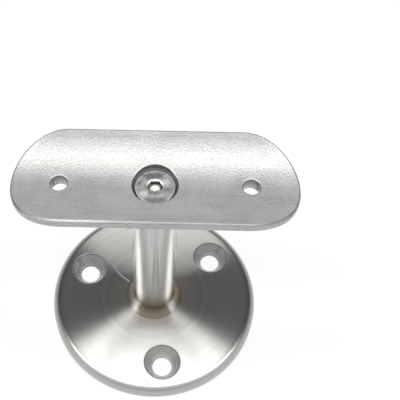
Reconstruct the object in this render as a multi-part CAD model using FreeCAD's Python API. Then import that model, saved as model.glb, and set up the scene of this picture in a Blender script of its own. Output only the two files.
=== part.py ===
import FreeCAD, Part
import math
import os

# Handrail bracket: a round wall flange, a straight stem welded to it and a
# curved saddle plate screwed to the stem's free end.
# Frame: origin at the centre of the flange's back face, +Z along the stem,
# +X along the rail that the saddle carries. Millimetres.

# Flange
FLANGE_DIAMETER = 70.0
FLANGE_THICKNESS = 5.0
FLANGE_EDGE_ROUND = 2.4
FLANGE_BACK_CHAMFER = 0.3
FIXING_CIRCLE = 50.0
FIXING_COUNT = 3
FIXING_FIRST_ANGLE = 37.5
FIXING_HOLE = 6.4
FIXING_SINK = 12.2
FIXING_SINK_ANGLE = 65.0

# Stem and its weld
POST_DIAMETER = 14.0
SOCKET_DEPTH = 3.0
SOCKET_CLEARANCE = 0.05
POST_FOOT_CHAMFER = 0.4
WELD_LEG = 2.6
WELD_HOLLOW = 0.4
DRILL_POINT_ANGLE = 120.0

# Saddle
SADDLE_HEIGHT = 71.5
SADDLE_LENGTH = 80.0
SADDLE_WIDTH = 31.0
SADDLE_THICKNESS = 4.0
RAIL_DIAMETER = 50.8
SADDLE_TOP_CHAMFER = 0.5
SADDLE_LOWER_CHAMFER = 1.5
RAIL_SCREW_SPACING = 53.0
RAIL_SCREW_HOLE = 4.8

# Saddle screw, M6 with a countersunk head and a hexagon socket
SCREW_DIAMETER = 6.0
SCREW_HEAD = 11.5
SCREW_HEAD_ANGLE = 90.0
SCREW_HEAD_LAND = 0.2
SCREW_LENGTH = 16.0
SCREW_TIP_CHAMFER = 0.8
SOCKET_FLATS = 4.0
SOCKET_HOLE_DEPTH = 1.7
SOCKET_FLOOR_ANGLE = 150.0
SOCKET_MOUTH_CHAMFER = 0.15
SOCKET_MOUTH_ANGLE = 130.0
SCREW_HOLE_CLEARANCE = 0.3
THREAD_CLEARANCE = 0.05
RECESS_DIAMETER = 12.6
RECESS_LAND = 0.6
TAPPED_EXTRA_DEPTH = 3.0
TAPPED_MOUTH_CHAMFER = 0.6

# Levels and radii that follow from the values above
POST_RADIUS = POST_DIAMETER / 2
POST_BOTTOM = FLANGE_THICKNESS - SOCKET_DEPTH
TROUGH_RADIUS = RAIL_DIAMETER / 2
SADDLE_BOTTOM = SADDLE_HEIGHT - SADDLE_THICKNESS
OVERCUT = 5.0  # how far a cutter runs past the face that it opens
UP = FreeCAD.Vector(0, 0, 1)
ALONG_RAIL = FreeCAD.Vector(1, 0, 0)


def revolved(profile):
    """Turn a closed list of (radius, height) points about the stem's axis."""
    points = [FreeCAD.Vector(radius, 0, height) for radius, height in profile]
    outline = Part.makePolygon(points + points[:1])
    return Part.Face(outline).revolve(FreeCAD.Vector(0, 0, 0), UP, 360)


def cylinder(radius, bottom, top, x=0.0, y=0.0):
    """Upright cylinder between two heights."""
    return Part.makeCylinder(radius, top - bottom, FreeCAD.Vector(x, y, bottom), UP)


def cone_height(small_diameter, large_diameter, full_angle):
    """Height over which a cone of this full angle opens from one diameter to the other."""
    return (large_diameter - small_diameter) / 2 / math.tan(math.radians(full_angle / 2))


def rail_cylinder(lowest, x_half):
    """Cylinder along the rail whose lowest line lies at the given height."""
    start = FreeCAD.Vector(-x_half, 0, lowest + TROUGH_RADIUS)
    return Part.makeCylinder(TROUGH_RADIUS, 2 * x_half, start, ALONG_RAIL)


def fixing_places():
    """Centres of the wall screws, evenly spaced on the fixing circle."""
    places = []
    for index in range(FIXING_COUNT):
        angle = math.radians(FIXING_FIRST_ANGLE + index * 360 / FIXING_COUNT)
        places.append((FIXING_CIRCLE / 2 * math.cos(angle), FIXING_CIRCLE / 2 * math.sin(angle)))
    return places


def fixing_cutter(x, y):
    """Through hole with a deep countersink that opens at the flange's face."""
    sink = cone_height(FIXING_HOLE, FIXING_SINK, FIXING_SINK_ANGLE)
    cone_bottom = FLANGE_THICKNESS - sink
    hole = cylinder(FIXING_HOLE / 2, -OVERCUT, FLANGE_THICKNESS, x, y)
    place = FreeCAD.Vector(x, y, cone_bottom)
    cone = Part.makeCone(FIXING_HOLE / 2, FIXING_SINK / 2, sink, place, UP)
    mouth = cylinder(FIXING_SINK / 2, FLANGE_THICKNESS, FLANGE_THICKNESS + OVERCUT, x, y)
    return hole.fuse([cone, mouth])


def circular_edges(solid, radius, height):
    """Edges of the solid that are circles of this radius at this height."""
    found = []
    for edge in solid.Edges:
        if not isinstance(edge.Curve, Part.Circle):
            continue
        same_radius = abs(edge.Curve.Radius - radius) < 1e-6
        same_height = abs(edge.Curve.Center.z - height) < 1e-6
        if same_radius and same_height:
            found.append(edge)
    return found


def base_flange():
    """Turned disc with a rounded front edge, a blind socket and three screw holes."""
    outer = FLANGE_DIAMETER / 2
    disc = cylinder(outer, 0, FLANGE_THICKNESS)
    disc = disc.makeFillet(FLANGE_EDGE_ROUND, circular_edges(disc, outer, FLANGE_THICKNESS))
    disc = disc.makeChamfer(FLANGE_BACK_CHAMFER, circular_edges(disc, outer, 0))
    socket = cylinder(POST_RADIUS + SOCKET_CLEARANCE, POST_BOTTOM, FLANGE_THICKNESS + OVERCUT)
    cutters = [socket]
    for x, y in fixing_places():
        cutters.append(fixing_cutter(x, y))
    return disc.cut(cutters)


def screw_levels():
    """Heights of the saddle screw: start of the head cone, head face and tip."""
    hole = SCREW_DIAMETER + 2 * SCREW_HOLE_CLEARANCE
    hidden_cone = cone_height(SCREW_DIAMETER, hole, SCREW_HEAD_ANGLE)
    cone_bottom = SADDLE_BOTTOM + RECESS_LAND - hidden_cone
    cone = cone_height(SCREW_DIAMETER, SCREW_HEAD, SCREW_HEAD_ANGLE)
    head_face = cone_bottom + cone + SCREW_HEAD_LAND
    return cone_bottom, head_face, head_face - SCREW_LENGTH


def post():
    """Round bar with a coped top end and a tapped hole for the saddle screw."""
    foot = POST_RADIUS - POST_FOOT_CHAMFER
    blank = revolved([
        (0, POST_BOTTOM),
        (foot, POST_BOTTOM),
        (POST_RADIUS, POST_BOTTOM + POST_FOOT_CHAMFER),
        (POST_RADIUS, SADDLE_HEIGHT),
        (0, SADDLE_HEIGHT),
    ])
    coped = blank.cut(rail_cylinder(SADDLE_BOTTOM, POST_DIAMETER))
    hole_radius = SCREW_DIAMETER / 2 + THREAD_CLEARANCE
    hole_bottom = screw_levels()[2] - TAPPED_EXTRA_DEPTH
    point = cone_height(0, 2 * hole_radius, DRILL_POINT_ANGLE)
    mouth = hole_radius + TAPPED_MOUTH_CHAMFER
    hole = revolved([
        (0, hole_bottom - point),
        (hole_radius, hole_bottom),
        (hole_radius, SADDLE_BOTTOM - TAPPED_MOUTH_CHAMFER),
        (mouth, SADDLE_BOTTOM),
        (mouth, SADDLE_HEIGHT),
        (0, SADDLE_HEIGHT),
    ])
    return coped.cut(hole)


def foot_weld():
    """Hollow fillet bead in the corner between the flange's face and the stem."""
    waist = WELD_LEG / 2 - WELD_HOLLOW
    return revolved([
        (POST_RADIUS, FLANGE_THICKNESS),
        (POST_RADIUS + WELD_LEG, FLANGE_THICKNESS),
        (POST_RADIUS + waist, FLANGE_THICKNESS + waist),
        (POST_RADIUS, FLANGE_THICKNESS + WELD_LEG),
    ])


def saddle_outline():
    """Oblong with round ends, as seen along the stem."""
    half_width = SADDLE_WIDTH / 2
    straight = SADDLE_LENGTH / 2 - half_width
    low = SADDLE_BOTTOM - OVERCUT
    right_low = FreeCAD.Vector(straight, -half_width, low)
    right_high = FreeCAD.Vector(straight, half_width, low)
    left_high = FreeCAD.Vector(-straight, half_width, low)
    left_low = FreeCAD.Vector(-straight, -half_width, low)
    right_end = FreeCAD.Vector(straight + half_width, 0, low)
    left_end = FreeCAD.Vector(-straight - half_width, 0, low)
    edges = [
        Part.LineSegment(left_low, right_low).toShape(),
        Part.Arc(right_low, right_end, right_high).toShape(),
        Part.LineSegment(right_high, left_high).toShape(),
        Part.Arc(left_high, left_end, left_low).toShape(),
    ]
    return Part.Wire(edges)


def rim_edges(plate, lowest):
    """Outer edges of the plate that lie on the trough surface with this lowest line."""
    found = []
    for edge in plate.Edges:
        points = edge.discretize(5)
        on_surface = True
        for point in points:
            surface = lowest + TROUGH_RADIUS - math.sqrt(TROUGH_RADIUS**2 - point.y**2)
            if abs(point.z - surface) > 1e-3:
                on_surface = False
        if on_surface:
            found.append(edge)
    return found


def saddle_cutters():
    """Two rail screw holes and the central countersunk recess."""
    cutters = []
    for side in (-1, 1):
        x = side * RAIL_SCREW_SPACING / 2
        hole = cylinder(RAIL_SCREW_HOLE / 2, SADDLE_BOTTOM - OVERCUT, SADDLE_HEIGHT + OVERCUT, x)
        cutters.append(hole)
    hole_radius = SCREW_DIAMETER / 2 + SCREW_HOLE_CLEARANCE
    sink = cone_height(2 * hole_radius, RECESS_DIAMETER, SCREW_HEAD_ANGLE)
    land_top = SADDLE_BOTTOM + RECESS_LAND
    recess = revolved([
        (0, SADDLE_BOTTOM - OVERCUT),
        (hole_radius, SADDLE_BOTTOM - OVERCUT),
        (hole_radius, land_top),
        (RECESS_DIAMETER / 2, land_top + sink),
        (RECESS_DIAMETER / 2, SADDLE_HEIGHT + OVERCUT),
        (0, SADDLE_HEIGHT + OVERCUT),
    ])
    cutters.append(recess)
    return cutters


def saddle_plate():
    """Oblong plate dished to the rail's curve, with bevelled edges."""
    above_plate = FreeCAD.Vector(0, 0, TROUGH_RADIUS + OVERCUT)
    blank = Part.Face(saddle_outline()).extrude(above_plate)
    shell = rail_cylinder(SADDLE_BOTTOM, SADDLE_LENGTH)
    shell = shell.cut(rail_cylinder(SADDLE_HEIGHT, SADDLE_LENGTH + OVERCUT))
    plate = blank.common(shell)
    plate = plate.makeChamfer(SADDLE_LOWER_CHAMFER, rim_edges(plate, SADDLE_BOTTOM))
    plate = plate.makeChamfer(SADDLE_TOP_CHAMFER, rim_edges(plate, SADDLE_HEIGHT))
    return plate.cut(saddle_cutters())


def saddle_screw():
    """Countersunk screw; the shank is plain at the thread's outer diameter."""
    cone_bottom, head_face, tip = screw_levels()
    shank = SCREW_DIAMETER / 2
    head = SCREW_HEAD / 2
    body = revolved([
        (0, tip),
        (shank - SCREW_TIP_CHAMFER, tip),
        (shank, tip + SCREW_TIP_CHAMFER),
        (shank, cone_bottom),
        (head, head_face - SCREW_HEAD_LAND),
        (head, head_face),
        (0, head_face),
    ])
    corner = SOCKET_FLATS / math.sqrt(3)
    floor = head_face - SOCKET_HOLE_DEPTH
    corners = []
    for index in range(6):
        angle = math.radians(60 * index)
        corners.append(FreeCAD.Vector(corner * math.cos(angle), corner * math.sin(angle), floor))
    hexagon = Part.Face(Part.makePolygon(corners + corners[:1]))
    socket = hexagon.extrude(FreeCAD.Vector(0, 0, SOCKET_HOLE_DEPTH + OVERCUT))
    point = cone_height(0, SOCKET_FLATS, SOCKET_FLOOR_ANGLE)
    dimple = Part.makeCone(0, SOCKET_FLATS / 2, point, FreeCAD.Vector(0, 0, floor - point), UP)
    mouth = corner + SOCKET_MOUTH_CHAMFER
    mouth_depth = cone_height(0, 2 * mouth, SOCKET_MOUTH_ANGLE)
    chamfer = Part.makeCone(0, mouth, mouth_depth, FreeCAD.Vector(0, 0, head_face - mouth_depth), UP)
    return body.cut([socket, dimple, chamfer])


PIECES = {
    "base_flange": base_flange,
    "post": post,
    "foot_weld": foot_weld,
    "saddle_plate": saddle_plate,
    "saddle_screw": saddle_screw,
}

os.makedirs("parts", exist_ok=True)
for name, make in PIECES.items():
    piece = make()
    piece.exportStep("parts/" + name + ".step")
    print(name, "solids", len(piece.Solids), "valid", piece.isValid(), "mm3", round(piece.Volume, 1))
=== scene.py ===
import math

import bmesh
import bpy
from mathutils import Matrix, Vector
from mathutils.geometry import delaunay_2d_cdt


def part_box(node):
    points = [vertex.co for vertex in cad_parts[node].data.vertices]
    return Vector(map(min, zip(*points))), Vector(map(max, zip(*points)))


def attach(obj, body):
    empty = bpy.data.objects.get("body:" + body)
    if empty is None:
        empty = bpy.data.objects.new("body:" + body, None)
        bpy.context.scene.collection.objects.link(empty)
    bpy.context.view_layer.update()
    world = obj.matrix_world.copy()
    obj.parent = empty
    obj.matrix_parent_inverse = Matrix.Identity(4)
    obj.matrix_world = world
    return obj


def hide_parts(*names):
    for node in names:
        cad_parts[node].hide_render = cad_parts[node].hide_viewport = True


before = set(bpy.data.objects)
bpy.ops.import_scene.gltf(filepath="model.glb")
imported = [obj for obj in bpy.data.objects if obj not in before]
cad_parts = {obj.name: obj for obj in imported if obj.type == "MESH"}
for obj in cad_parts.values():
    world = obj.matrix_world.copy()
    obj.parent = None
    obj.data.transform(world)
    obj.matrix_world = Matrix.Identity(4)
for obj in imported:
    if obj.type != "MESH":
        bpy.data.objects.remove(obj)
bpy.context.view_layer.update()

# ---------------------------------------------------------------------------
# Base flange: a disc of stainless bar that was faced and turned on a lathe.
# Fine circular tool marks cover its face, and three deep countersunk holes
# take the screws that hold it to the wall.
# ---------------------------------------------------------------------------

MM = 0.001
SHARP_ANGLE = math.radians(35)
LARGE_FACE_WEIGHT = 75  # how much large faces rule the smooth shading
MIDDLE_AXIS = [(0.0, 0.0)]


class PieceMesh:
    """Gathers the rings and faces of one piece, in millimetres."""

    def __init__(self):
        self.points = []
        self.faces = []
        self.finishes = []
        self.finish = 0  # which of the piece's materials new faces take

    def ring(self, points):
        """Adds points and gives back their numbers."""
        first = len(self.points)
        self.points.extend(points)
        return list(range(first, first + len(points)))

    def add_face(self, corners):
        """Adds one face in the current finish."""
        self.faces.append(corners)
        self.finishes.append(self.finish)

    def bridge(self, near, far):
        """Joins two closed rings of equal count with four-sided faces."""
        for here, low in enumerate(near):
            after = (here + 1) % len(near)
            self.add_face((low, near[after], far[after], far[here]))

    def stack(self, rings):
        """Joins each ring to the next one."""
        for near, far in zip(rings, rings[1:]):
            self.bridge(near, far)

    def sheet(self, loops, inner=(), height=None):
        """Fills the area inside the first loop and outside the others."""
        numbers = [number for loop in loops for number in loop]
        edges = []
        start = 0
        for loop in loops:
            count = len(loop)
            edges += [(start + k, start + (k + 1) % count) for k in range(count)]
            start += count
        if inner:
            numbers += self.ring([(x, y, height(x, y)) for x, y in inner])
        flat = [Vector(self.points[number][:2]) for number in numbers]
        found = delaunay_2d_cdt(flat, edges, [], 0, 1e-6)
        openings = [set(loop) for loop in loops[1:]]
        for triangle in found[2]:
            corners = [numbers[found[3][corner][0]] for corner in triangle]
            if not any(opening.issuperset(corners) for opening in openings):
                self.add_face(corners)

    def build(self, name, materials):
        """Makes the object, which rides on the CAD body in place of its node."""
        mesh = bpy.data.meshes.new(name)
        mesh.from_pydata([Vector(point) * MM for point in self.points], [], self.faces)
        work = bmesh.new()
        work.from_mesh(mesh)
        bmesh.ops.recalc_face_normals(work, faces=work.faces)
        for face in work.faces:
            face.smooth = True
        for edge in work.edges:
            edge.smooth = not edge.is_manifold or edge.calc_face_angle() < SHARP_ANGLE
        work.to_mesh(mesh)
        work.free()
        for material in materials:
            mesh.materials.append(material)
        mesh.polygons.foreach_set("material_index", self.finishes)
        piece = bpy.data.objects.new(name, mesh)
        bpy.context.scene.collection.objects.link(piece)
        even = piece.modifiers.new("even_shading", "WEIGHTED_NORMAL")
        even.weight = LARGE_FACE_WEIGHT
        even.keep_sharp = True
        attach(piece, "root")
        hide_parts(name)


def circle(radius, height, count, x=0.0, y=0.0):
    """Points round an upright axis."""
    turns = [2 * math.pi * k / count for k in range(count)]
    return [(x + radius * math.cos(t), y + radius * math.sin(t), height) for t in turns]


def rounding(across, down, steps):
    """(inset, drop) pairs round an edge, from the level face to the wall."""
    angles = [math.pi / 2 * k / steps for k in range(steps + 1)]
    return [(across * (1 - math.sin(a)), down * (1 - math.cos(a))) for a in angles]


def new_group(name, inputs, outputs):
    """A shader node group with named sockets."""
    group = bpy.data.node_groups.new(name, "ShaderNodeTree")
    for label, kind, value in inputs:
        socket = group.interface.new_socket(name=label, in_out="INPUT", socket_type=kind)
        socket.default_value = value
    for label, kind in outputs:
        group.interface.new_socket(name=label, in_out="OUTPUT", socket_type=kind)
    return group, group.nodes.new("NodeGroupInput"), group.nodes.new("NodeGroupOutput")


def add(tree, kind, inputs=None, **settings):
    """Adds a node, sets its options and fills or links its inputs."""
    node = tree.nodes.new(kind)
    for key, value in settings.items():
        setattr(node, key, value)
    for key, value in (inputs or {}).items():
        if isinstance(value, bpy.types.NodeSocket):
            tree.links.new(value, node.inputs[key])
        else:
            node.inputs[key].default_value = value
    return node


def maths(tree, operation, first, second=0.0):
    """One Math node, and the value that it puts out."""
    return add(tree, "ShaderNodeMath", {0: first, 1: second}, operation=operation).outputs[0]


def vector_maths(tree, operation, first, second=(0.0, 0.0, 0.0)):
    """One Vector Math node, and its outputs: a vector and a value."""
    return add(tree, "ShaderNodeVectorMath", {0: first, 1: second}, operation=operation).outputs


def object_place(tree):
    """The place of each point on the piece, in metres."""
    return add(tree, "ShaderNodeTexCoord").outputs["Object"]


def part(tree, vector, axis):
    """One of the three numbers of a vector."""
    return add(tree, "ShaderNodeSeparateXYZ", {0: vector}).outputs[axis]


def ramp(tree, value, start, end, low=0.0, high=1.0, bend="SMOOTHSTEP"):
    """Goes from low to high while the value goes from start to end."""
    inputs = {"Value": value, "From Min": start, "From Max": end, "To Min": low, "To Max": high}
    return add(tree, "ShaderNodeMapRange", inputs, interpolation_type=bend).outputs[0]


def spread(tree, noise, low, high):
    """Spreads the middle of a noise, 0.3 to 0.7, over a range."""
    return ramp(tree, noise, 0.3, 0.7, low, high, "LINEAR")


def shade(tree, mask, first, second, how="MIX"):
    """A colour between two, by a mask; each is a node's output or plain numbers."""
    ends = [end if isinstance(end, bpy.types.NodeSocket) else (*end, 1) for end in (first, second)]
    inputs = {0: mask, 6: ends[0], 7: ends[1]}
    return add(tree, "ShaderNodeMix", inputs, data_type="RGBA", blend_type=how).outputs[2]


def mottle(tree, noise, dark, light):
    """A colour that a noise moves between two."""
    return shade(tree, spread(tree, noise, 0.0, 1.0), dark, light)


def raise_by(tree, height, depth, normal=None):
    """A Bump node whose depth is in metres, and the normal that it puts out."""
    inputs = {"Height": height, "Distance": depth, "Strength": 1.0}
    if normal is not None:
        inputs["Normal"] = normal
    return add(tree, "ShaderNodeBump", inputs).outputs["Normal"]


def new_metal(name, roughness, metallic=1.0, streak=0.0):
    """A bare metal with its Principled shader. A streak draws its shine out
    square to fine marks that run round the upright axis."""
    material = bpy.data.materials.new(name)
    material.use_nodes = True
    tree = material.node_tree
    shader = tree.nodes["Principled BSDF"]
    shader.inputs["Metallic"].default_value = metallic
    shader.inputs["Roughness"].default_value = roughness
    if streak:
        round_axis = add(tree, "ShaderNodeTangent", direction_type="RADIAL", axis="Z")
        tree.links.new(round_axis.outputs["Tangent"], shader.inputs["Tangent"])
        shader.inputs["Anisotropic"].default_value = streak
        shader.inputs["Anisotropic Rotation"].default_value = 0.25
    return material, tree, shader


def finish_metal(tree, shader, colour, roughness, normal):
    """Links what a metal's nodes put out to its shader."""
    tree.links.new(colour, shader.inputs["Base Color"])
    tree.links.new(roughness, shader.inputs["Roughness"])
    tree.links.new(normal, shader.inputs["Normal"])


# Rings that a lathe tool leaves as it moves out from an axis or along it
turning_marks, marks_in, marks_out = new_group(
    "turning_marks",
    [
        ("Distance", "NodeSocketFloat", 0.0),
        ("Height along Axis", "NodeSocketFloat", 0.0),
        ("Rings per Metre", "NodeSocketFloat", 3000.0),
        ("Waver", "NodeSocketFloat", 0.2),
    ],
    [("Height", "NodeSocketFloat"), ("Tone", "NodeSocketFloat")],
)
marks_path = maths(
    turning_marks, "ADD", marks_in.outputs["Distance"], marks_in.outputs["Height along Axis"]
)
marks_step = maths(turning_marks, "MULTIPLY", marks_path, marks_in.outputs["Rings per Metre"])
marks_drift = add(
    turning_marks, "ShaderNodeTexNoise",
    {"Vector": object_place(turning_marks), "Scale": 90.0, "Detail": 2.0},
)
marks_offset = maths(turning_marks, "MULTIPLY", marks_drift.outputs[0], marks_in.outputs["Waver"])
marks_turns = maths(turning_marks, "ADD", marks_step, marks_offset)
marks_fine = add(
    turning_marks, "ShaderNodeTexNoise", {"W": marks_turns, "Scale": 1.0, "Detail": 3.0},
    noise_dimensions="1D",
)
marks_wide = add(
    turning_marks, "ShaderNodeTexNoise",
    {"W": maths(turning_marks, "MULTIPLY", marks_turns, 0.13), "Scale": 1.0, "Detail": 1.0},
    noise_dimensions="1D",
)
marks_tone = add(
    turning_marks, "ShaderNodeMix", {0: 0.5, 2: marks_fine.outputs[0], 3: marks_wide.outputs[0]},
    data_type="FLOAT",
)
turning_marks.links.new(marks_fine.outputs[0], marks_out.inputs["Height"])
turning_marks.links.new(marks_tone.outputs[0], marks_out.inputs["Tone"])


def lathe_marks(tree, axes, rings, waver):
    """Rings round the nearest of some upright axes; also the distance from it
    and the height, both in metres."""
    place = object_place(tree)
    height = part(tree, place, "Z")
    flat = vector_maths(tree, "MULTIPLY", place, (1.0, 1.0, 0.0))["Vector"]
    nearest = None
    for x, y in axes:
        away = vector_maths(tree, "DISTANCE", flat, (x * MM, y * MM, 0.0))["Value"]
        nearest = away if nearest is None else maths(tree, "MINIMUM", nearest, away)
    marks = add(
        tree, "ShaderNodeGroup",
        {"Distance": nearest, "Height along Axis": height, "Rings per Metre": rings, "Waver": waver},
        node_tree=turning_marks,
    )
    return marks.outputs, nearest, height


FIXING_RADIUS = 25.0
FIXING_TURNS = (37.5, 157.5, 277.5)
fixing_places = []
for turn in FIXING_TURNS:
    angle = math.radians(turn)
    fixing_places.append((FIXING_RADIUS * math.cos(angle), FIXING_RADIUS * math.sin(angle)))

FACE_LEAST_HEIGHT = 4.5  # lower points belong to the back
# Where the painted glint lies on the face, in mm
GLINT_START = (-8.2, 4.3)
GLINT_LINE = (-0.87, 0.49, 0.0)
GLINT_ACROSS = (0.49, 0.87, 0.0)
GLINT_BOW = 0.03
GLINT_FADE = 4.0
GLINT_LENGTH = 15.0

# The face: fine rings, and a faint straw tint near the weld
turned_steel, tree, shader = new_metal("turned_steel", 0.31, streak=1.0)
marks, away, height = lathe_marks(tree, MIDDLE_AXIS, rings=2600.0, waver=0.15)
turned_tone = mottle(tree, marks["Tone"], (0.585, 0.575, 0.56), (0.72, 0.71, 0.70))
# Painted highlight: lighter on both sides of the weld and along a broad path
# down the front, but not right before the bead, standing in for lamp light.
# What made it bright is a guess. These masks leave out the height, so they
# mark the hidden back as well.
face_place = object_place(tree)
face_across = maths(tree, "ABSOLUTE", part(tree, face_place, "X"))
highlight_ring = ramp(tree, away, 10.0 * MM, 16.5 * MM, 0.9, 0.0)
highlight_sides = ramp(tree, face_across, 4.0 * MM, 8.0 * MM)
path_width = ramp(tree, face_across, 9.0 * MM, 14.5 * MM, 0.45, 0.0)
path_start = ramp(tree, part(tree, face_place, "Y"), -11.5 * MM, -14.5 * MM)
highlight_near = maths(tree, "MULTIPLY", highlight_ring, highlight_sides)
highlight_path = maths(tree, "MULTIPLY", path_width, path_start)
painted_highlight = maths(tree, "MAXIMUM", highlight_near, highlight_path)
highlight_tone = shade(tree, painted_highlight, turned_tone, (0.95, 0.94, 0.92))
face_heat = ramp(tree, away, 9.6 * MM, 17.0 * MM, 0.4, 0.0)
face_tint = shade(tree, face_heat, (1, 1, 1), (0.90, 0.85, 0.72))
face_colour = shade(tree, 1.0, highlight_tone, face_tint, "MULTIPLY")
# A painted glint: one fine pale line, slightly bowed, runs out from the weld towards the left hole, drawn
# lighter and less metallic like a scratch
start = (GLINT_START[0] * MM, GLINT_START[1] * MM, 0.0)
from_start = vector_maths(tree, "SUBTRACT", face_place, start)["Vector"]
run = vector_maths(tree, "DOT_PRODUCT", from_start, GLINT_LINE)["Value"]
aside = vector_maths(tree, "DOT_PRODUCT", from_start, GLINT_ACROSS)["Value"]
bow = maths(tree, "MULTIPLY", maths(tree, "MULTIPLY", run, run), GLINT_BOW / MM)
from_glint = maths(tree, "ABSOLUTE", maths(tree, "SUBTRACT", aside, bow))
glint_width = ramp(tree, from_glint, 0.1 * MM, 0.4 * MM, 0.8, 0.0)
glint_begun = ramp(tree, run, 0.0, 1.0 * MM, bend="LINEAR")
glint_left = ramp(tree, run, GLINT_FADE * MM, GLINT_LENGTH * MM, 1.0, 0.0, "LINEAR")
on_face = maths(tree, "GREATER_THAN", height, FACE_LEAST_HEIGHT * MM)
painted_glint = maths(tree, "MULTIPLY", glint_width, on_face)
for share in (glint_begun, glint_left):
    painted_glint = maths(tree, "MULTIPLY", painted_glint, share)
finish_metal(
    tree, shader,
    shade(tree, painted_glint, face_colour, (0.82, 0.80, 0.77)),
    spread(tree, marks["Tone"], 0.295, 0.335),
    raise_by(tree, marks["Height"], 0.004 * MM),
)
tree.links.new(maths(tree, "SUBTRACT", 1.0, painted_glint), shader.inputs["Metallic"])

# The rounded rim: a coarser pass, painted darker than the face as painted shade
rim_steel, tree, shader = new_metal("rim_steel", 0.30, streak=0.8)
marks = lathe_marks(tree, MIDDLE_AXIS, rings=3400.0, waver=0.3)[0]
finish_metal(
    tree, shader,
    mottle(tree, marks["Tone"], (0.42, 0.415, 0.405), (0.53, 0.525, 0.515)),
    spread(tree, marks["Tone"], 0.27, 0.33),
    raise_by(tree, marks["Height"], 0.006 * MM),
)

# The countersinks: deeper rings round each hole, and painted darker as shade in the hollows
sunk_steel, tree, shader = new_metal("sunk_steel", 0.30)
marks = lathe_marks(tree, fixing_places, rings=2600.0, waver=0.4)[0]
finish_metal(
    tree, shader,
    mottle(tree, marks["Tone"], (0.34, 0.335, 0.325), (0.60, 0.595, 0.585)),
    spread(tree, marks["Tone"], 0.20, 0.29),
    raise_by(tree, marks["Height"], 0.03 * MM),
)

flange_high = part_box("base_flange")[1]
FLANGE_RADIUS = flange_high.x / MM
FLANGE_TOP = flange_high.z / MM
FLANGE_SIDES = 192
FACE_ROUND = 2.4
BACK_ROUND = 0.3
EDGE_BREAK = 0.1  # of the socket's mouth and of the holes at the back
POST_SOCKET = 7.05
SOCKET_SIDES = 96
SOCKET_FLOOR = 2.0
HOLE_RADIUS = 3.2
SINK_RADIUS = 6.1
SINK_SLOPE = math.tan(math.radians(32.5))
SINK_SIDES = 96
SINK_EDGE = 0.12  # how far the countersink's sharp lip is dressed
SINK_LIP = 0.5  # depth of the steep band below the lip
SINK_LIP_INSET = 0.04
CHATTER_RINGS = 5
CHATTER_DEPTH = 0.07
CHATTER_STEPS = 6
CHATTER_FADE = 8  # the rings fade over one part in so many at both ends

flange_mesh = PieceMesh()
rim = []
for inset, drop in rounding(FACE_ROUND, FACE_ROUND, steps=12):
    rim.append(flange_mesh.ring(circle(FLANGE_RADIUS - inset, FLANGE_TOP - drop, FLANGE_SIDES)))
for inset, drop in reversed(rounding(BACK_ROUND, BACK_ROUND, steps=3)):
    rim.append(flange_mesh.ring(circle(FLANGE_RADIUS - inset, drop, FLANGE_SIDES)))
flange_mesh.finish = 1
flange_mesh.stack(rim)
flange_mesh.finish = 0

socket = [
    flange_mesh.ring(circle(POST_SOCKET + EDGE_BREAK, FLANGE_TOP, SOCKET_SIDES)),
    flange_mesh.ring(circle(POST_SOCKET, FLANGE_TOP - EDGE_BREAK, SOCKET_SIDES)),
    flange_mesh.ring(circle(POST_SOCKET, SOCKET_FLOOR, SOCKET_SIDES)),
]
flange_mesh.stack(socket)
flange_mesh.sheet([socket[-1]])

face_loops = [rim[0], socket[0]]
back_loops = [rim[-1]]
sink_depth = (SINK_RADIUS - HOLE_RADIUS) / SINK_SLOPE
for x, y in fixing_places:
    profile = [(SINK_RADIUS + SINK_EDGE, FLANGE_TOP), (SINK_RADIUS, FLANGE_TOP - SINK_EDGE)]
    count = CHATTER_RINGS * CHATTER_STEPS
    for step in range(count):
        share = step / count
        taper = min(1.0, CHATTER_FADE * share, CHATTER_FADE * (1 - share))
        ripple = CHATTER_DEPTH * math.sin(2 * math.pi * CHATTER_RINGS * share) * taper
        radius = SINK_RADIUS - SINK_LIP_INSET - share * (SINK_RADIUS - HOLE_RADIUS) + ripple
        profile.append((radius, FLANGE_TOP - SINK_LIP - share * (sink_depth - SINK_LIP)))
    profile.append((HOLE_RADIUS, FLANGE_TOP - sink_depth))
    profile.append((HOLE_RADIUS, EDGE_BREAK))
    profile.append((HOLE_RADIUS + EDGE_BREAK, 0.0))
    hole = [flange_mesh.ring(circle(radius, level, SINK_SIDES, x, y)) for radius, level in profile]
    flange_mesh.stack(hole[:2])
    flange_mesh.finish = 2
    flange_mesh.stack(hole[1:])
    flange_mesh.finish = 0
    face_loops.append(hole[0])
    back_loops.append(hole[-1])
flange_mesh.sheet(face_loops)
flange_mesh.sheet(back_loops)
flange_mesh.build("base_flange", [turned_steel, rim_steel, sunk_steel])

# ---------------------------------------------------------------------------
# Post: a length of 14 mm drawn stainless bar with faint lines along it. Its
# foot sits in the flange's socket and its top end is coped to the saddle.
# Welding has tinted the last few millimetres above the bead.
# ---------------------------------------------------------------------------

# Uneven tone and height of a metal surface, from specks to soft patches
surface_grain, grain_in, grain_out = new_group(
    "surface_grain",
    [
        ("Grains per Metre", "NodeSocketFloat", 3000.0),
        ("Stretch", "NodeSocketVector", (1.0, 1.0, 1.0)),
        ("Patches per Metre", "NodeSocketFloat", 120.0),
    ],
    [("Height", "NodeSocketFloat"), ("Tone", "NodeSocketFloat"), ("Patches", "NodeSocketFloat")],
)
grain_place = object_place(surface_grain)
grain_pulled = vector_maths(surface_grain, "MULTIPLY", grain_place, grain_in.outputs["Stretch"])["Vector"]
grain_fine = add(
    surface_grain, "ShaderNodeTexNoise",
    {"Vector": grain_pulled, "Scale": grain_in.outputs["Grains per Metre"], "Detail": 2.0, "Roughness": 0.6},
)
grain_patch = add(
    surface_grain, "ShaderNodeTexNoise",
    {"Vector": grain_place, "Scale": grain_in.outputs["Patches per Metre"], "Detail": 3.0},
)
grain_mix = add(
    surface_grain, "ShaderNodeMix", {0: 0.35, 2: grain_fine.outputs[0], 3: grain_patch.outputs[0]},
    data_type="FLOAT",
)
surface_grain.links.new(grain_fine.outputs[0], grain_out.inputs["Height"])
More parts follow.
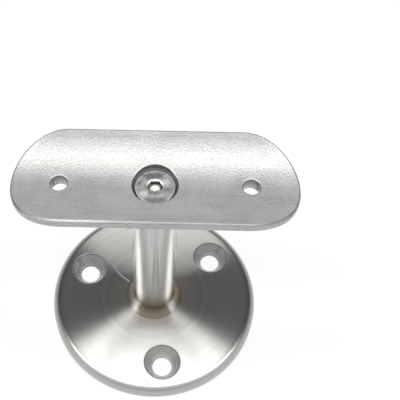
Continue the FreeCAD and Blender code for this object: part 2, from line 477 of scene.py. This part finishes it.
surface_grain.links.new(grain_mix.outputs[0], grain_out.inputs["Tone"])
surface_grain.links.new(grain_patch.outputs[0], grain_out.inputs["Patches"])


def new_grain(tree, grains, patches, stretch=(1.0, 1.0, 1.0)):
    """Places the grain in a material, with its own counts per metre."""
    return add(
        tree, "ShaderNodeGroup",
        {"Grains per Metre": grains, "Stretch": stretch, "Patches per Metre": patches},
        node_tree=surface_grain,
    ).outputs


bar_steel, tree, shader = new_metal("bar_steel", 0.21, streak=0.96)
grain = new_grain(tree, grains=2400.0, patches=60.0, stretch=(1.0, 1.0, 0.02))
bar_tone = mottle(tree, grain["Height"], (0.47, 0.465, 0.46), (0.58, 0.575, 0.57))
# A tone by viewing angle: painted shade at the flanks and a painted reflection
# where the bar turns away from the eye, standing in for finer reflections
bar_facing = add(tree, "ShaderNodeLayerWeight", {"Blend": 0.5}).outputs["Facing"]
bar_flank = ramp(tree, bar_facing, 0.50, 0.57)
bar_edge = ramp(tree, bar_facing, 0.585, 0.67)
bar_painted_shade = shade(tree, bar_flank, bar_tone, (0.36, 0.355, 0.35))
bar_painted_shade_and_shine = shade(tree, bar_edge, bar_painted_shade, (0.85, 0.845, 0.83))
# The heat tint fades upwards, and is weaker where the bead covers the foot
bar_height = part(tree, object_place(tree), "Z")
bar_heat = ramp(tree, bar_height, 8.8 * MM, 18.0 * MM, 1.0, 0.0)
bar_foot = ramp(tree, bar_height, 7.8 * MM, 9.2 * MM, 0.45, 1.0)
finish_metal(
    tree, shader,
    shade(tree, maths(tree, "MULTIPLY", bar_heat, bar_foot), bar_painted_shade_and_shine, (0.29, 0.26, 0.215)),
    spread(tree, grain["Patches"], 0.19, 0.22),
    raise_by(tree, grain["Height"], 0.006 * MM),
)
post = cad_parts["post"]
post.data.materials.clear()
post.data.materials.append(bar_steel)

# ---------------------------------------------------------------------------
# Foot weld: a small fillet bead laid by hand round the post. Its ripples are
# faint. The heat has turned it straw and brown. A painted highlight makes it
# bright on both sides of the front, and painted shade darkens the brown front.
# ---------------------------------------------------------------------------

weld_steel, tree, shader = new_metal("weld_steel", 0.32, streak=1.0)
grain = new_grain(tree, grains=900.0, patches=260.0)
straw_tone = mottle(tree, grain["Patches"], (0.46, 0.375, 0.28), (0.62, 0.52, 0.405))
# How far round the bead a point is: 0 at the sides and -1 at the very front
weld_flat = vector_maths(tree, "MULTIPLY", object_place(tree), (1.0, 1.0, 0.0))["Vector"]
weld_round = part(tree, vector_maths(tree, "NORMALIZE", weld_flat)["Vector"], "Y")
# Painted highlight on both sides of the front, and painted shade over the dark brown front
weld_side_highlight = ramp(tree, weld_round, -0.30, -0.60)
weld_front_shade = ramp(tree, weld_round, -0.66, -0.79)
side_highlight_tone = shade(tree, weld_side_highlight, straw_tone, (0.78, 0.77, 0.75))
brown_and_shade_tone = shade(tree, weld_front_shade, side_highlight_tone, (0.31, 0.275, 0.215))
# The toe blends into the face, but less in front, where the brown runs on
weld_away = vector_maths(tree, "LENGTH", weld_flat)["Value"]
weld_toe = ramp(tree, weld_away, 8.6 * MM, 9.7 * MM, 0.0, 0.8)
toe_kept = maths(tree, "SUBTRACT", 1.0, maths(tree, "MULTIPLY", weld_front_shade, 0.85))
finish_metal(
    tree, shader,
    shade(tree, maths(tree, "MULTIPLY", weld_toe, toe_kept), brown_and_shade_tone, (0.66, 0.635, 0.59)),
    spread(tree, grain["Tone"], 0.29, 0.36),
    raise_by(tree, grain["Height"], 0.006 * MM),
)

weld_low, weld_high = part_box("foot_weld")
WELD_SIDES = 288
WELD_STEPS = 16
WELD_RIPPLES = 40
WELD_RIPPLE_DEPTH = 0.01
WELD_RIPPLE_LEAN = 2.2  # how far a ripple trails behind at the middle of the bead
POST_RADIUS = 7.0
WELD_LIFT = 0.02  # keeps the bead's hidden inner edge off the face
weld_base = weld_low.z / MM
weld_leg = weld_high.x / MM - POST_RADIUS
weld_mesh = PieceMesh()
bead = []
for step in range(WELD_STEPS + 1):
    slope = math.pi / 2 * step / WELD_STEPS
    middle = math.sin(2 * slope)
    ring = []
    for side in range(WELD_SIDES):
        turn = 2 * math.pi * side / WELD_SIDES
        ripple = WELD_RIPPLE_DEPTH * math.cos(turn * WELD_RIPPLES - WELD_RIPPLE_LEAN * middle)
        reach = weld_leg - max(0.0, ripple) * middle
        radius = POST_RADIUS + weld_leg - reach * math.sin(slope)
        level = weld_base + weld_leg - reach * math.cos(slope)
        ring.append((radius * math.cos(turn), radius * math.sin(turn), level))
    bead.append(weld_mesh.ring(ring))
bead.append(weld_mesh.ring(circle(POST_RADIUS, weld_base + WELD_LIFT, WELD_SIDES)))
weld_mesh.stack(bead)
weld_mesh.bridge(bead[-1], bead[0])
weld_mesh.build("foot_weld", [weld_steel])

# ---------------------------------------------------------------------------
# Saddle plate: 4 mm stainless plate pressed to the rail's curve, with round
# ends and softened edges, then bead blasted to a matt grey. It has two holes
# for the rail's screws and a countersunk recess for the screw in the post.
# ---------------------------------------------------------------------------

# Its faces: blasted, with soft scuffs along the rail
blasted_steel, tree, shader = new_metal("blasted_steel", 0.43, metallic=0.5)
grain = new_grain(tree, grains=1900.0, patches=160.0)
blasted_tone = mottle(tree, grain["Tone"], (0.325, 0.325, 0.325), (0.51, 0.51, 0.51))
scuffs = new_grain(tree, grains=900.0, patches=70.0, stretch=(0.05, 1.0, 1.0))
scuff_lines = spread(tree, scuffs["Height"], 0.0, 1.0)
scuff_share = maths(tree, "MULTIPLY", scuff_lines, spread(tree, scuffs["Patches"], 0.0, 0.55))
finish_metal(
    tree, shader,
    shade(tree, scuff_share, blasted_tone, (0.56, 0.56, 0.56)),
    spread(tree, grain["Patches"], 0.40, 0.46),
    raise_by(tree, grain["Height"], 0.07 * MM),
)

# The walls of its holes: drilled, smoother, and painted darker towards the top as shade
bored_steel, tree, shader = new_metal("bored_steel", 0.3)
grain = new_grain(tree, grains=1500.0, patches=300.0, stretch=(1.0, 1.0, 6.0))
bore_tone = mottle(tree, grain["Tone"], (0.33, 0.33, 0.32), (0.47, 0.47, 0.46))
bore_top_shade = ramp(tree, part(tree, object_place(tree), "Z"), 68.2 * MM, 71.2 * MM)
finish_metal(
    tree, shader,
    shade(tree, bore_top_shade, bore_tone, (0.21, 0.21, 0.205)),
    spread(tree, grain["Patches"], 0.28, 0.38),
    raise_by(tree, grain["Height"], 0.012 * MM),
)

# Its cut edge: a painted highlight along the front, most at the left, and painted shade elsewhere
cut_steel, tree, shader = new_metal("cut_steel", 0.43, metallic=0.5)
grain = new_grain(tree, grains=1900.0, patches=160.0)
cut_place = object_place(tree)
cut_right = ramp(tree, part(tree, cut_place, "X"), -18.0 * MM, -9.0 * MM)
cut_behind = ramp(tree, part(tree, cut_place, "Y"), -13.5 * MM, -9.0 * MM)
cut_left_tone = mottle(tree, grain["Tone"], (0.36, 0.36, 0.36), (0.49, 0.49, 0.49))
cut_right_tone = mottle(tree, grain["Tone"], (0.24, 0.24, 0.24), (0.36, 0.36, 0.36))
cut_front_highlight = shade(tree, cut_right, cut_left_tone, cut_right_tone)
cut_rest_shade = mottle(tree, grain["Tone"], (0.15, 0.15, 0.15), (0.24, 0.24, 0.24))
finish_metal(
    tree, shader,
    shade(tree, cut_behind, cut_front_highlight, cut_rest_shade),
    spread(tree, grain["Patches"], 0.40, 0.46),
    raise_by(tree, grain["Height"], 0.05 * MM),
)

saddle_low, saddle_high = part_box("saddle_plate")
SADDLE_HALF_WIDTH = saddle_high.y / MM
SADDLE_STRAIGHT = saddle_high.x / MM - SADDLE_HALF_WIDTH
SADDLE_UNDERSIDE = saddle_low.z / MM
SADDLE_THICKNESS = 4.0
TROUGH_RADIUS = 25.4
TOP_INSETS = (2.3, 1.8)  # rings on the face that hold its curve beside the edge
TOP_BEVEL = ((1.05, 0.0), (0.88, 0.05), (0.34, 0.61), (0.1, 0.98), (0.02, 1.3), (0.0, 1.6))  # inset, drop
CUT_BANDS = (3, 5)  # edge rings between which the cut edge shows
LEAST_BEVEL = 0.6  # share of that bevel left where the edge is hardly rubbed
GRIND_FRONT = (12.0, 14.5)  # distance in front of the middle: none, and full
GRIND_LEFT = (10.0, 14.0)  # faint past so far to the right, full past so far to the left
GRIND_RIGHT_SHARE = 0.1
LOWER_ROUND = 1.9
LOWER_INSETS = (0.35, 0.8)  # the same below, past the rounding
OUTLINE_STEP = 0.75
RAIL_HOLE_PLACE = 26.5
RAIL_HOLE_RADIUS = 2.4
RAIL_HOLE_SIDES = 64
RECESS_RADIUS = 6.3
RECESS_SIDES = 120
RECESS_LAND = 0.6
SCREW_HOLE_RADIUS = 3.3
HOLE_EDGE = 0.22
HOLE_RINGS = ((0.7, 0.0), (HOLE_EDGE, 0.0), (0.06, 0.08), (0.0, HOLE_EDGE))  # outset, drop
HOLE_CLEARANCE = 1.0
GRID_STEP = (1.45, 1.05)
GRID_SHIFT = 0.3  # of every other row
GRID_COUNT = (27, 14)  # each way from the middle
GRID_INSETS = (2.7, 3.2)  # from the outline, above and below


def trough(y):
    """Height of the rail's curve above its lowest line."""
    return TROUGH_RADIUS - math.sqrt(TROUGH_RADIUS**2 - y**2)


def bevel_share(x, y):
    """How far the top edge is ground back; most at the front left, the least behind."""
    front_start, front_full = GRIND_FRONT
    right_end, left_full = GRIND_LEFT
    near = min(1.0, max(0.0, (-y - front_start) / (front_full - front_start)))
    left = min(1.0, max(GRIND_RIGHT_SHARE, (right_end - x) / (right_end + left_full)))
    return LEAST_BEVEL + (1 - LEAST_BEVEL) * near * left


def oblong(inset, ground=False):
    """Plan outline with round ends, inset from the plate's edge, with bevel shares."""
    straight = round(2 * SADDLE_STRAIGHT / OUTLINE_STEP)
    bend = round(math.pi * SADDLE_HALF_WIDTH / OUTLINE_STEP)
    places = []
    for side in (1, -1):
        for step in range(bend):
            turn = math.pi * step / bend - math.pi / 2
            places.append((side * SADDLE_STRAIGHT, side * math.cos(turn), side * math.sin(turn)))
        for step in range(straight):
            along = SADDLE_STRAIGHT - 2 * SADDLE_STRAIGHT * step / straight
            places.append((side * along, 0.0, side))
    points = []
    for centre, across, up in places:
        reach = SADDLE_HALF_WIDTH
        share = bevel_share(centre + across * reach, up * reach) if ground else 1.0
        reach -= inset * share
        points.append((centre + across * reach, up * reach, share))
    return points


def dished(points, base, drop=0.0):
    """Lays plan points on the plate's curve; their third number is their share of the drop."""
    return [(x, y, base + trough(y) - drop * share) for x, y, share in points]


def in_plan(x, y, inset):
    """Whether a plan point lies inside the outline and clear of the holes."""
    past = max(abs(x) - SADDLE_STRAIGHT, 0.0)
    if math.hypot(past, y) > SADDLE_HALF_WIDTH - inset:
        return False
    if math.hypot(abs(x) - RAIL_HOLE_PLACE, y) < RAIL_HOLE_RADIUS + HOLE_CLEARANCE:
        return False
    return math.hypot(x, y) > RECESS_RADIUS + HOLE_CLEARANCE


saddle_face = SADDLE_UNDERSIDE + SADDLE_THICKNESS
saddle_mesh = PieceMesh()
edge = []
for inset in TOP_INSETS:
    edge.append(saddle_mesh.ring(dished(oblong(inset), saddle_face)))
for inset, drop in TOP_BEVEL:
    edge.append(saddle_mesh.ring(dished(oblong(inset, True), saddle_face, drop)))
for inset, drop in reversed(rounding(LOWER_ROUND, LOWER_ROUND, steps=8)):
    edge.append(saddle_mesh.ring(dished(oblong(inset), SADDLE_UNDERSIDE, -drop)))
for inset in LOWER_INSETS:
    edge.append(saddle_mesh.ring(dished(oblong(LOWER_ROUND + inset), SADDLE_UNDERSIDE)))
cut_first, cut_last = CUT_BANDS
saddle_mesh.stack(edge[: cut_first + 1])
saddle_mesh.finish = 2
saddle_mesh.stack(edge[cut_first : cut_last + 1])
saddle_mesh.finish = 0
saddle_mesh.stack(edge[cut_last:])

face_loops = [edge[0]]
under_loops = [edge[-1]]
for side in (-1, 1):
    hole = []
    for outset, drop in HOLE_RINGS:
        plan = circle(RAIL_HOLE_RADIUS + outset, 1.0, RAIL_HOLE_SIDES, side * RAIL_HOLE_PLACE)
        hole.append(saddle_mesh.ring(dished(plan, saddle_face, drop)))
    for outset, drop in reversed(HOLE_RINGS[1:]):
        plan = circle(RAIL_HOLE_RADIUS + outset, 1.0, RAIL_HOLE_SIDES, side * RAIL_HOLE_PLACE)
        hole.append(saddle_mesh.ring(dished(plan, SADDLE_UNDERSIDE, -drop)))
    saddle_mesh.stack(hole[:2])
    saddle_mesh.finish = 2
    saddle_mesh.stack(hole[1:4])
    saddle_mesh.finish = 1
    saddle_mesh.stack(hole[3:])
    saddle_mesh.finish = 0
    face_loops.append(hole[0])
    under_loops.append(hole[-1])

land_top = SADDLE_UNDERSIDE + RECESS_LAND
cone_top = land_top + RECESS_RADIUS - SCREW_HOLE_RADIUS
recess = []
for outset, drop in HOLE_RINGS:
    plan = circle(RECESS_RADIUS + outset, 1.0, RECESS_SIDES)
    recess.append(saddle_mesh.ring(dished(plan, saddle_face, drop)))
recess.append(saddle_mesh.ring(circle(RECESS_RADIUS, cone_top, RECESS_SIDES)))
recess.append(saddle_mesh.ring(circle(SCREW_HOLE_RADIUS, land_top, RECESS_SIDES)))
plan = circle(SCREW_HOLE_RADIUS, 1.0, RECESS_SIDES)
recess.append(saddle_mesh.ring(dished(plan, SADDLE_UNDERSIDE)))
saddle_mesh.stack(recess[:2])
saddle_mesh.finish = 1
saddle_mesh.stack(recess[1:])
saddle_mesh.finish = 0
face_loops.append(recess[0])
under_loops.append(recess[-1])

grid = []
columns, rows = GRID_COUNT
for row in range(-rows, rows + 1):
    for column in range(-columns, columns + 1):
        grid.append((column * GRID_STEP[0] + GRID_SHIFT * (row % 2), row * GRID_STEP[1]))
face_points = [(x, y) for x, y in grid if in_plan(x, y, GRID_INSETS[0])]
saddle_mesh.sheet(face_loops, face_points, lambda x, y: saddle_face + trough(y))
under_points = [(x, y) for x, y in face_points if in_plan(x, y, GRID_INSETS[1])]
saddle_mesh.sheet(under_loops, under_points, lambda x, y: SADDLE_UNDERSIDE + trough(y))
saddle_mesh.build("saddle_plate", [blasted_steel, bored_steel, cut_steel])

# ---------------------------------------------------------------------------
# Saddle screw: an M6 countersunk screw with a hexagon socket, cold headed in
# stainless steel. It pulls the saddle down onto the post's coped end.
# ---------------------------------------------------------------------------

# Painted shadow and glints on the head: place, half width, half depth (mm) and tone; the dark ones are
# painted shadow, the white ones painted glints
HEAD_SHADE_AND_GLINTS = (
    (-0.2, 3.5, 3.3, 1.2, 0.25),
    (0.2, -4.5, 4.0, 1.2, 0.30),
    (2.9, 1.5, 1.4, 1.4, 1.0),
    (-2.9, -2.2, 1.3, 1.0, 1.0),
)

# The head: mottled from forming, with a brighter rim, and painted shadow and glints
screw_steel, tree, shader = new_metal("screw_steel", 0.42)
grain = new_grain(tree, grains=1900.0, patches=420.0)
marks, away = lathe_marks(tree, MIDDLE_AXIS, rings=1800.0, waver=0.6)[:2]
head_colour = mottle(tree, grain["Patches"], (0.33, 0.33, 0.33), (0.66, 0.66, 0.65))
head_rim = ramp(tree, away, 4.4 * MM, 5.2 * MM, 0.0, 0.6)
head_colour = shade(tree, head_rim, head_colour, (0.66, 0.66, 0.65))
head_place = object_place(tree)
for x, y, wide, deep, tone in HEAD_SHADE_AND_GLINTS:
    from_mark = vector_maths(tree, "SUBTRACT", head_place, (x * MM, y * MM, 0.0))["Vector"]
    stretch = (1 / (wide * MM), 1 / (deep * MM), 0.0)
    stretched = vector_maths(tree, "MULTIPLY", from_mark, stretch)["Vector"]
    reach = vector_maths(tree, "LENGTH", stretched)["Value"]
    ragged = maths(tree, "ADD", reach, spread(tree, grain["Height"], -0.5, 0.5))
    mark = ramp(tree, ragged, 0.55, 1.15, 0.85, 0.0)
    head_colour = shade(tree, mark, head_colour, (tone, tone, tone))
head_normal = raise_by(tree, marks["Height"], 0.012 * MM)
finish_metal(
    tree, shader,
    head_colour,
    spread(tree, grain["Tone"], 0.38, 0.48),
    raise_by(tree, grain["Height"], 0.03 * MM, head_normal),
)

# The socket's walls, the floor's outer ring and the screw's outside: dark as painted shade, with marks along
# the screw
shaded_punched_steel, tree, shader = new_metal("shaded_punched_steel", 0.34)
grain = new_grain(tree, grains=2600.0, patches=700.0, stretch=(1.0, 1.0, 0.15))
finish_metal(
    tree, shader,
    mottle(tree, grain["Tone"], (0.16, 0.16, 0.15), (0.30, 0.30, 0.29)),
    spread(tree, grain["Patches"], 0.30, 0.40),
    raise_by(tree, grain["Height"], 0.02 * MM),
)

# The socket's mouth and floor: pressed smooth and bright
pressed_steel, tree, shader = new_metal("pressed_steel", 0.45)
grain = new_grain(tree, grains=2400.0, patches=900.0)
finish_metal(
    tree, shader,
    mottle(tree, grain["Tone"], (0.58, 0.58, 0.57), (0.72, 0.72, 0.71)),
    spread(tree, grain["Patches"], 0.42, 0.52),
    raise_by(tree, grain["Height"], 0.01 * MM),
)

screw_low, screw_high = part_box("saddle_screw")
HEAD_FACE = screw_high.z / MM
HEAD_RADIUS = screw_high.x / MM
SCREW_TIP = screw_low.z / MM
SCREW_SIDES = 96
SHANK_RADIUS = 3.0
HEAD_LAND = 0.2
HEAD_EDGE = 0.14
TIP_CHAMFER = 0.8
SOCKET_FLATS = 4.0
SOCKET_DEPTH = 1.7
SOCKET_MOUTH = 2.46
MOUTH_SLOPE = math.tan(math.radians(25.0))
FLOOR_SLOPE = math.tan(math.radians(15.0))
FACE_RINGS = (5.2, 4.6, 3.9, 3.2, 2.75, SOCKET_MOUTH)
FLOOR_RINGS = (SOCKET_FLATS / 2, 1.5, 1.0, 0.5, 0.1)


def hexagon(flats, height_of, sides):
    """Points round a hexagon, as many as a circle has, each at its own height."""
    points = []
    for side in range(sides):
        turn = 2 * math.pi * side / sides
        past = turn % (math.pi / 3) - math.pi / 6
        radius = flats / 2 / math.cos(past)
        points.append((radius * math.cos(turn), radius * math.sin(turn), height_of(radius)))
    return points


screw_mesh = PieceMesh()
socket_floor = HEAD_FACE - SOCKET_DEPTH
land_low = HEAD_FACE - HEAD_LAND
neck = land_low - (HEAD_RADIUS - SHANK_RADIUS)
profile = [
    (SHANK_RADIUS - TIP_CHAMFER, SCREW_TIP),
    (SHANK_RADIUS, SCREW_TIP + TIP_CHAMFER),
    (SHANK_RADIUS, neck),
    (HEAD_RADIUS, land_low),
]
for inset, drop in reversed(rounding(HEAD_EDGE, HEAD_EDGE, steps=4)):
    profile.append((HEAD_RADIUS - inset, HEAD_FACE - drop))
edge_top = len(profile)
profile += [(radius, HEAD_FACE) for radius in FACE_RINGS]
outside = [screw_mesh.ring(circle(radius, level, SCREW_SIDES)) for radius, level in profile]
screw_mesh.finish = 1
screw_mesh.stack(outside[:edge_top])
screw_mesh.sheet([outside[0]])
screw_mesh.finish = 0
screw_mesh.stack(outside[edge_top - 1 :])
mouth = screw_mesh.ring(
    hexagon(SOCKET_FLATS, lambda radius: HEAD_FACE - MOUTH_SLOPE * (SOCKET_MOUTH - radius), SCREW_SIDES)
)
wall_foot = screw_mesh.ring(hexagon(SOCKET_FLATS, lambda radius: socket_floor, SCREW_SIDES))
bottom = [wall_foot]
for radius in FLOOR_RINGS:
    depth = FLOOR_SLOPE * (SOCKET_FLATS / 2 - radius)
    bottom.append(screw_mesh.ring(circle(radius, socket_floor - depth, SCREW_SIDES)))
screw_mesh.finish = 1
screw_mesh.bridge(mouth, wall_foot)
screw_mesh.stack(bottom[:3])
screw_mesh.finish = 2
screw_mesh.bridge(outside[-1], mouth)
screw_mesh.stack(bottom[2:])
screw_mesh.sheet([bottom[-1]])
screw_mesh.build("saddle_screw", [screw_steel, shaded_punched_steel, pressed_steel])

# ---------------------------------------------------------------------------
# Studio table: plain white. The eye and the steel see it mostly as a white
# glow, so the bracket's shadow is faint on it, and missing in the streak.
# ---------------------------------------------------------------------------

FLOOR_SIZE = 3.0
FLOOR_GLOW = 0.8

floor_mesh = bpy.data.meshes.new("floor")
half = FLOOR_SIZE / 2
floor_mesh.from_pydata(
    [(-half, -half, 0), (half, -half, 0), (half, half, 0), (-half, half, 0)], [], [(0, 1, 2, 3)]
)
floor = bpy.data.objects.new("floor", floor_mesh)
bpy.context.scene.collection.objects.link(floor)
floor_paint = bpy.data.materials.new("floor_paint")
floor_paint.use_nodes = True
tree = floor_paint.node_tree
tree.nodes.clear()
path = add(tree, "ShaderNodeLightPath")
seen = maths(tree, "MAXIMUM", path.outputs["Is Camera Ray"], path.outputs["Is Glossy Ray"])
seen = maths(tree, "MAXIMUM", seen, path.outputs["Is Transmission Ray"])
lit = add(tree, "ShaderNodeBsdfDiffuse", {"Color": (0.9, 0.9, 0.9, 1)})
glow = add(tree, "ShaderNodeEmission", {"Color": (1, 1, 1, 1), "Strength": 1.0})
# A brighter streak along the rail's line stands in for the lamps' own shine
streak_away = maths(tree, "ABSOLUTE", part(tree, object_place(tree), "Y"))
table_level = ramp(tree, streak_away, 6.0 * MM, 20.0 * MM, 1.0, FLOOR_GLOW)
glow_share = maths(tree, "MULTIPLY", seen, table_level)
paint = add(tree, "ShaderNodeMixShader", {0: glow_share, 1: lit.outputs[0], 2: glow.outputs[0]})
below = add(tree, "ShaderNodeNewGeometry").outputs["Backfacing"]
clear = add(tree, "ShaderNodeBsdfTransparent")
one_sided = add(tree, "ShaderNodeMixShader", {0: below, 1: paint.outputs[0], 2: clear.outputs[0]})
floor_end = add(tree, "ShaderNodeOutputMaterial")
tree.links.new(one_sided.outputs[0], floor_end.inputs["Surface"])
floor_mesh.materials.append(floor_paint)

# ---------------------------------------------------------------------------
# Studio room: pale at the horizon, dimmer in front, and nearly dark high up
# at the back. Three long soft lamps hang in a row above the rail's line.
# ---------------------------------------------------------------------------

HORIZON_LEVEL = 0.7
HORIZON_FRONT_LEVEL = 0.5
HIGH_FRONT_LEVEL = 0.75
HIGH_BACK_LEVEL = 0.08
world = bpy.data.worlds.new("room")
world.use_nodes = True
tree = world.node_tree
look = add(tree, "ShaderNodeTexCoord").outputs["Generated"]
look_back = part(tree, look, "Y")
high_level = ramp(tree, look_back, -0.35, 0.25, HIGH_FRONT_LEVEL, HIGH_BACK_LEVEL)
horizon_level = ramp(tree, look_back, -0.9, -0.3, HORIZON_FRONT_LEVEL, HORIZON_LEVEL)
climb = ramp(tree, part(tree, look, "Z"), 0.33, 0.74)
room_level = add(tree, "ShaderNodeMix", {0: climb, 2: horizon_level, 3: high_level}, data_type="FLOAT")
background = tree.nodes["Background"]
background.inputs["Color"].default_value = (0.975, 0.982, 1.0, 1)
tree.links.new(room_level.outputs[0], background.inputs["Strength"])
bpy.context.scene.world = world

LAMP_HEIGHT = 0.8
LAMP_WIDTH = 0.22
LAMP_OFFSET = -0.006  # towards the front
LAMP_COLOUR = (1.0, 0.998, 0.968)
LAMPS = (  # name, place along the rail, length along the rail, light given off per area
    ("left_lamp", -0.41, 0.17, 11.0),
    ("middle_lamp", 0.0, 0.64, 8.0),
    ("right_lamp", 0.385, 0.13, 11.5),
)
for name, along, length, brightness in LAMPS:
    lamp_data = bpy.data.lights.new(name, "AREA")
    lamp_data.shape = "RECTANGLE"
    lamp_data.color = LAMP_COLOUR
    lamp_data.size = length
    lamp_data.size_y = LAMP_WIDTH
    lamp_data.energy = brightness * math.pi * length * LAMP_WIDTH
    lamp = bpy.data.objects.new(name, lamp_data)
    lamp.location = (along, LAMP_OFFSET, LAMP_HEIGHT)
    bpy.context.scene.collection.objects.link(lamp)

# ---------------------------------------------------------------------------
# Camera: above and in front of the bracket, with the bracket left of centre.
# ---------------------------------------------------------------------------

CAMERA_PLACE = (1.770, -117.042, 240.382)
CAMERA_LOOK = (-0.01475, 0.55308, -0.83300)
CAMERA_LENS = 67.305
CAMERA_SENSOR = 36.0
CAMERA_SHIFT = 0.12453
NEAREST_SEEN = 10.0

camera_data = bpy.data.cameras.new("camera")
camera_data.lens = CAMERA_LENS
camera_data.sensor_width = CAMERA_SENSOR
camera_data.shift_x = CAMERA_SHIFT
camera_data.clip_start = NEAREST_SEEN * MM
camera = bpy.data.objects.new("camera", camera_data)
camera.location = Vector(CAMERA_PLACE) * MM
camera.rotation_mode = "QUATERNION"
camera.rotation_quaternion = Vector(CAMERA_LOOK).to_track_quat("-Z", "Y")
bpy.context.scene.collection.objects.link(camera)
bpy.context.scene.camera = camera
bpy.context.scene.view_settings.view_transform = "Standard"
